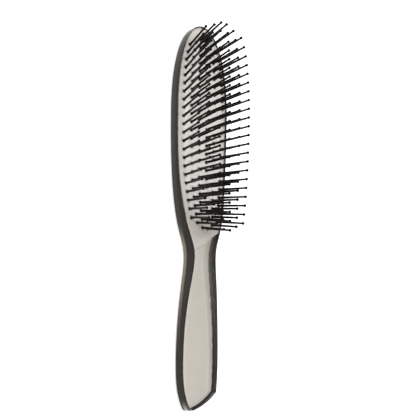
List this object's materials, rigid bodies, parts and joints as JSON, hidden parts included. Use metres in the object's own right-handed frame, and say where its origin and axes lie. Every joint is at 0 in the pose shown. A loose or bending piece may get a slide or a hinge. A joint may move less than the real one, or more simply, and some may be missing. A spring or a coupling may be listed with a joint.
{
  "type": "detangling brush",
  "caption": "Hand-held detangling hair brush: a thick clear smoke-tinted slab with a long oval head, narrow neck and slanted handle, and rows of ball-tipped pins on a sprung cushion.",
  "frame": {"origin": "under the middle of the brush, on the surface that its flat back lies on", "axes": "+Y from the handle to the tip of the head, +Z out of the front face along the pins, +X to the right as seen facing the pins with the head up"},
  "size_m": [0.041, 0.2336, 0.0314],
  "materials": {
    "clear_plastic": "gloss",
    "cushion_rubber": "matte",
    "pin_plastic": "satin"
  },
  "bodies": {
    "brush_body": {"body": "clear_plastic", "back_cover": "clear_plastic", "cushion_pad": "cushion_rubber"},
    "pins_left_outer_tip": {"pins_left_outer_tip": "pin_plastic"},
    "pins_left_outer_upper": {"pins_left_outer_upper": "pin_plastic"},
    "pins_left_outer_lower": {"pins_left_outer_lower": "pin_plastic"},
    "pins_left_outer_neck": {"pins_left_outer_neck": "pin_plastic"},
    "pins_left_middle_tip": {"pins_left_middle_tip": "pin_plastic"},
    "pins_left_middle_upper": {"pins_left_middle_upper": "pin_plastic"},
    "pins_left_middle_lower": {"pins_left_middle_lower": "pin_plastic"},
    "pins_left_middle_neck": {"pins_left_middle_neck": "pin_plastic"},
    "pins_left_inner_tip": {"pins_left_inner_tip": "pin_plastic"},
    "pins_left_inner_upper": {"pins_left_inner_upper": "pin_plastic"},
    "pins_left_inner_lower": {"pins_left_inner_lower": "pin_plastic"},
    "pins_left_inner_neck": {"pins_left_inner_neck": "pin_plastic"},
    "pins_right_inner_tip": {"pins_right_inner_tip": "pin_plastic"},
    "pins_right_inner_upper": {"pins_right_inner_upper": "pin_plastic"},
    "pins_right_inner_lower": {"pins_right_inner_lower": "pin_plastic"},
    "pins_right_inner_neck": {"pins_right_inner_neck": "pin_plastic"},
    "pins_right_middle_tip": {"pins_right_middle_tip": "pin_plastic"},
    "pins_right_middle_upper": {"pins_right_middle_upper": "pin_plastic"},
    "pins_right_middle_lower": {"pins_right_middle_lower": "pin_plastic"},
    "pins_right_middle_neck": {"pins_right_middle_neck": "pin_plastic"},
    "pins_right_outer_tip": {"pins_right_outer_tip": "pin_plastic"},
    "pins_right_outer_upper": {"pins_right_outer_upper": "pin_plastic"},
    "pins_right_outer_lower": {"pins_right_outer_lower": "pin_plastic"},
    "pins_right_outer_neck": {"pins_right_outer_neck": "pin_plastic"}
  },
  "joints": [
    {"name": "press_left_outer_tip", "type": "slide", "parent": "brush_body", "child": "pins_left_outer_tip", "axis": [-0.1987, 0.194, 0.9607], "range_m": [-0.0012, 0], "stiffness_N_per_m": 300, "deforming": ["cushion_pad"]},
    {"name": "press_left_outer_upper", "type": "slide", "parent": "brush_body", "child": "pins_left_outer_upper", "axis": [-0.2293, 0.0881, 0.9694], "range_m": [-0.0012, 0], "stiffness_N_per_m": 300, "deforming": ["cushion_pad"]},
    {"name": "press_left_outer_lower", "type": "slide", "parent": "brush_body", "child": "pins_left_outer_lower", "axis": [-0.2207, -0.0175, 0.9752], "range_m": [-0.0012, 0], "stiffness_N_per_m": 300, "deforming": ["cushion_pad"]},
    {"name": "press_left_outer_neck", "type": "slide", "parent": "brush_body", "child": "pins_left_outer_neck", "axis": [-0.1818, -0.1241, 0.9755], "range_m": [-0.0012, 0], "stiffness_N_per_m": 300, "deforming": ["cushion_pad"]},
    {"name": "press_left_middle_tip", "type": "slide", "parent": "brush_body", "child": "pins_left_middle_tip", "axis": [-0.1149, 0.2061, 0.9718], "range_m": [-0.0012, 0], "stiffness_N_per_m": 300, "deforming": ["cushion_pad"]},
    {"name": "press_left_middle_upper", "type": "slide", "parent": "brush_body", "child": "pins_left_middle_upper", "axis": [-0.138, 0.0993, 0.9854], "range_m": [-0.0012, 0], "stiffness_N_per_m": 300, "deforming": ["cushion_pad"]},
    {"name": "press_left_middle_lower", "type": "slide", "parent": "brush_body", "child": "pins_left_middle_lower", "axis": [-0.1329, -0.0178, 0.991], "range_m": [-0.0012, 0], "stiffness_N_per_m": 300, "deforming": ["cushion_pad"]},
    {"name": "press_left_middle_neck", "type": "slide", "parent": "brush_body", "child": "pins_left_middle_neck", "axis": [-0.1061, -0.1351, 0.9851], "range_m": [-0.0012, 0], "stiffness_N_per_m": 300, "deforming": ["cushion_pad"]},
    {"name": "press_left_inner_tip", "type": "slide", "parent": "brush_body", "child": "pins_left_inner_tip", "axis": [-0.0377, 0.2073, 0.9775], "range_m": [-0.0012, 0], "stiffness_N_per_m": 300, "deforming": ["cushion_pad"]},
    {"name": "press_left_inner_upper", "type": "slide", "parent": "brush_body", "child": "pins_left_inner_upper", "axis": [-0.0463, 0.0904, 0.9948], "range_m": [-0.0012, 0], "stiffness_N_per_m": 300, "deforming": ["cushion_pad"]},
    {"name": "press_left_inner_lower", "type": "slide", "parent": "brush_body", "child": "pins_left_inner_lower", "axis": [-0.044, -0.0277, 0.9986], "range_m": [-0.0012, 0], "stiffness_N_per_m": 300, "deforming": ["cushion_pad"]},
    {"name": "press_left_inner_neck", "type": "slide", "parent": "brush_body", "child": "pins_left_inner_neck", "axis": [-0.0342, -0.1455, 0.9888], "range_m": [-0.0012, 0], "stiffness_N_per_m": 300, "deforming": ["cushion_pad"]},
    {"name": "press_right_inner_tip", "type": "slide", "parent": "brush_body", "child": "pins_right_inner_tip", "axis": [0.0377, 0.2073, 0.9775], "range_m": [-0.0012, 0], "stiffness_N_per_m": 300, "deforming": ["cushion_pad"]},
    {"name": "press_right_inner_upper", "type": "slide", "parent": "brush_body", "child": "pins_right_inner_upper", "axis": [0.0463, 0.0904, 0.9948], "range_m": [-0.0012, 0], "stiffness_N_per_m": 300, "deforming": ["cushion_pad"]},
    {"name": "press_right_inner_lower", "type": "slide", "parent": "brush_body", "child": "pins_right_inner_lower", "axis": [0.044, -0.0277, 0.9986], "range_m": [-0.0012, 0], "stiffness_N_per_m": 300, "deforming": ["cushion_pad"]},
    {"name": "press_right_inner_neck", "type": "slide", "parent": "brush_body", "child": "pins_right_inner_neck", "axis": [0.0342, -0.1455, 0.9888], "range_m": [-0.0012, 0], "stiffness_N_per_m": 300, "deforming": ["cushion_pad"]},
    {"name": "press_right_middle_tip", "type": "slide", "parent": "brush_body", "child": "pins_right_middle_tip", "axis": [0.1149, 0.2061, 0.9718], "range_m": [-0.0012, 0], "stiffness_N_per_m": 300, "deforming": ["cushion_pad"]},
    {"name": "press_right_middle_upper", "type": "slide", "parent": "brush_body", "child": "pins_right_middle_upper", "axis": [0.138, 0.0993, 0.9854], "range_m": [-0.0012, 0], "stiffness_N_per_m": 300, "deforming": ["cushion_pad"]},
    {"name": "press_right_middle_lower", "type": "slide", "parent": "brush_body", "child": "pins_right_middle_lower", "axis": [0.1329, -0.0178, 0.991], "range_m": [-0.0012, 0], "stiffness_N_per_m": 300, "deforming": ["cushion_pad"]},
    {"name": "press_right_middle_neck", "type": "slide", "parent": "brush_body", "child": "pins_right_middle_neck", "axis": [0.1061, -0.1351, 0.9851], "range_m": [-0.0012, 0], "stiffness_N_per_m": 300, "deforming": ["cushion_pad"]},
    {"name": "press_right_outer_tip", "type": "slide", "parent": "brush_body", "child": "pins_right_outer_tip", "axis": [0.1987, 0.194, 0.9607], "range_m": [-0.0012, 0], "stiffness_N_per_m": 300, "deforming": ["cushion_pad"]},
    {"name": "press_right_outer_upper", "type": "slide", "parent": "brush_body", "child": "pins_right_outer_upper", "axis": [0.2293, 0.0881, 0.9694], "range_m": [-0.0012, 0], "stiffness_N_per_m": 300, "deforming": ["cushion_pad"]},
    {"name": "press_right_outer_lower", "type": "slide", "parent": "brush_body", "child": "pins_right_outer_lower", "axis": [0.2207, -0.0175, 0.9752], "range_m": [-0.0012, 0], "stiffness_N_per_m": 300, "deforming": ["cushion_pad"]},
    {"name": "press_right_outer_neck", "type": "slide", "parent": "brush_body", "child": "pins_right_outer_neck", "axis": [0.1818, -0.1241, 0.9755], "range_m": [-0.0012, 0], "stiffness_N_per_m": 300, "deforming": ["cushion_pad"]}
  ]
}
